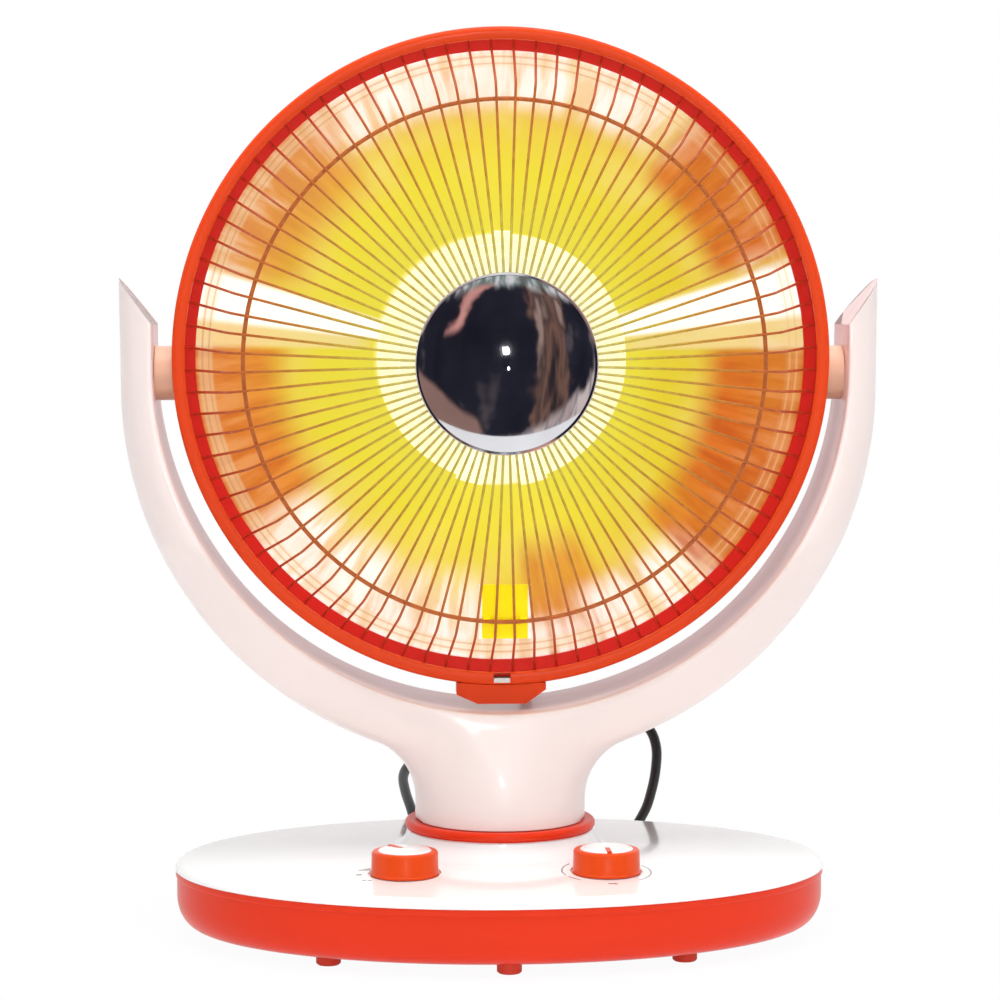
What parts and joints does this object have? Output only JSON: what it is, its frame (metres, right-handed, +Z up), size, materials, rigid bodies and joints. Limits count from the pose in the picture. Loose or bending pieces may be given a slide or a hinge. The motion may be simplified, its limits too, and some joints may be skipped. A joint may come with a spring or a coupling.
{
  "type": "tabletop carbon heater",
  "caption": "Round radiant heater with a wire guard over a gold reflector, tilting in a wide white yoke on an oval base with knobs; the yoke swings from side to side.",
  "frame": {"origin": "on the table, under the swivel axis, at the middle of the base", "axes": "+Z up along the swivel axis, the front faces -Y, +X to the right as seen from the front"},
  "size_m": [0.3782, 0.2807, 0.4516],
  "materials": {
    "red_plastic": "gloss orange-red moulding",
    "white_plastic": "gloss white moulding",
    "cream_plastic": "gloss cream moulding",
    "orange_shell": "gloss orange, heat-resistant moulding",
    "nylon": "natural nylon",
    "black_plastic": "matt black",
    "black_rubber": "matt black",
    "lead_jacket": "smooth black jacket, slight sheen",
    "foot_rubber": "orange-red rubber",
    "steel": "zinc plated",
    "ballast_iron": "bare",
    "brass": "turned",
    "chrome": "mirror",
    "gold_reflector": "polished, gold anodised",
    "guard_wire": "copper-brown lacquer",
    "yellow_tag": "satin yellow, white edges",
    "quartz": "clear quartz",
    "carbon": "woven carbon",
    "ceramic": "glazed ceramic"
  },
  "bodies": {
    "base": {"base_tray": "red_plastic", "base_top": "white_plastic", "collar_ring": "red_plastic", "swivel_bush": "nylon", "thrust_washer": "steel", "ballast_plate": "ballast_iron", "feet": "foot_rubber", "base_screws": "steel", "motor": "steel", "timer_body": "steel", "heat_switch": "black_plastic", "tip_switch": "black_plastic", "tip_spring": "steel", "base_terminals": "ceramic", "mains_gland": "black_rubber"},
    "pinion": {"motor_pinion": "nylon"},
    "timer_dial": {"timer_shaft": "brass", "timer_knob": "red_plastic", "timer_cap": "white_plastic", "timer_pointer": "red_plastic"},
    "heat_dial": {"heat_shaft": "brass", "heat_knob": "red_plastic", "heat_cap": "white_plastic", "heat_pointer": "red_plastic"},
    "plunger": {"tip_plunger": "red_plastic"},
    "yoke": {"spindle": "steel", "circlip": "steel", "sector_gear": "nylon", "neck_screws": "steel", "yoke_front": "white_plastic", "yoke_back": "white_plastic", "yoke_screws": "steel", "pivot_bushes": "nylon", "neck_gland": "black_rubber", "head_lead": "lead_jacket"},
    "head": {"pivot_bolts": "steel", "pivot_hubs": "cream_plastic", "bowl": "orange_shell", "rear_cover": "orange_shell", "cover_screws": "steel", "reflector": "gold_reflector", "head_rim": "orange_shell", "rim_latch": "orange_shell", "latch_screw": "steel", "latch_tongue": "steel", "head_gland": "black_rubber", "guard_outer_ring": "guard_wire", "guard_wires": "guard_wire", "guard_middle_ring": "guard_wire", "guard_inner_ring": "guard_wire", "guard_plate": "steel", "center_dome": "chrome", "guard_tag": "yellow_tag", "heater_tube": "quartz", "carbon_ribbon": "carbon", "tube_ends": "ceramic", "tube_support": "steel", "element_bracket": "steel", "thermal_cutout": "black_plastic", "head_terminals": "ceramic"}
  },
  "joints": [
    {"name": "swivel", "type": "hinge", "parent": "base", "child": "yoke", "pos_m": [0, 0, 0.055], "axis": [0, 0, 1], "range_deg": [-30, 30]},
    {"name": "pinion_spin", "type": "hinge", "parent": "base", "child": "pinion", "pos_m": [0, 0.045, 0.025], "axis": [0, 0, 1], "range_deg": [-120, 120]},
    {"name": "tilt", "type": "hinge", "parent": "yoke", "child": "head", "pos_m": [0, 0, 0.282], "axis": [-1, 0, 0], "range_deg": [-8, 22], "deforming": ["head_lead"]},
    {"name": "timer_turn", "type": "hinge", "parent": "base", "child": "timer_dial", "pos_m": [-0.049, -0.06, 0.045], "axis": [0, 0, -1], "range_deg": [0, 270]},
    {"name": "heat_turn", "type": "hinge", "parent": "base", "child": "heat_dial", "pos_m": [0.049, -0.06, 0.045], "axis": [0, 0, -1], "range_deg": [-90, 90]},
    {"name": "tip_travel", "type": "slide", "parent": "base", "child": "plunger", "axis": [0, 0, -1], "range_m": [0, 0.004], "stiffness_N_per_m": 60, "springref_m": 0.004, "deforming": ["tip_spring"]}
  ],
  "couplings": [
    {"joint": "pinion_spin", "follows": "swivel", "ratio": -4}
  ]
}
